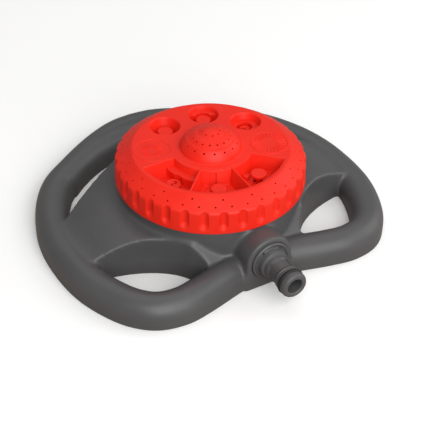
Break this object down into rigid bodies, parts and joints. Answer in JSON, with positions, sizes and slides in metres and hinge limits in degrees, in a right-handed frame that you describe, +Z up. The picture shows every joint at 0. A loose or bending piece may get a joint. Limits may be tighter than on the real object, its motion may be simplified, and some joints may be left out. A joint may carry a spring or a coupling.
{
  "type": "garden sprinkler",
  "caption": "Ring-based garden sprinkler with a red turning dial of spray patterns and a quick-connect hose nipple.",
  "frame": {"origin": "on the dial's turning axis, on the ground under the bottom cover", "axes": "+Z up along the dial's axis, -Y along the hose nipple towards its tip, +X towards the right wing"},
  "size_m": [0.2114, 0.2092, 0.067],
  "materials": {
    "base_plastic": "satin dark slate grey moulding",
    "inner_plastic": "plain black moulding",
    "dial_plastic": "semi-gloss bright red moulding",
    "rubber": "black nitrile rubber",
    "steel": "stainless steel"
  },
  "bodies": {
    "base": {"base_shell": "base_plastic", "valve_body": "inner_plastic", "bottom_cover": "inner_plastic", "inlet_spigot": "base_plastic", "hose_o_ring": "rubber", "inlet_o_ring": "rubber", "port_spring": "steel", "detent_spring": "steel", "cover_screw_1": "steel", "valve_screw_1": "steel", "cover_screw_2": "steel", "valve_screw_2": "steel", "cover_screw_3": "steel", "valve_screw_3": "steel", "cover_screw_4": "steel", "valve_screw_4": "steel"},
    "seal": {"port_seal": "rubber"},
    "detent": {"detent_plunger": "steel"},
    "dial": {"dial_cover": "dial_plastic", "port_plate": "dial_plastic", "pivot_washer": "steel", "pivot_screw": "steel", "jet_button": "dial_plastic", "half_fan_button": "dial_plastic", "swirl_nozzle": "dial_plastic", "slot_nozzle": "dial_plastic", "square_button": "dial_plastic", "flat_fan_button": "dial_plastic"}
  },
  "joints": [
    {"name": "dial_turn", "type": "hinge", "parent": "base", "child": "dial", "pos_m": [0, 0, 0], "axis": [0, 0, 1], "continuous": true},
    {"name": "seal_lift", "type": "slide", "parent": "base", "child": "seal", "axis": [0, 0, 1], "range_m": [-0.001, 0], "stiffness_N_per_m": 400, "springref_m": 0.003, "deforming": ["port_spring"]},
    {"name": "detent_click", "type": "slide", "parent": "base", "child": "detent", "axis": [0, 0, 1], "range_m": [0, 0.0012], "stiffness_N_per_m": 300, "springref_m": 0.003, "deforming": ["detent_spring"]}
  ]
}
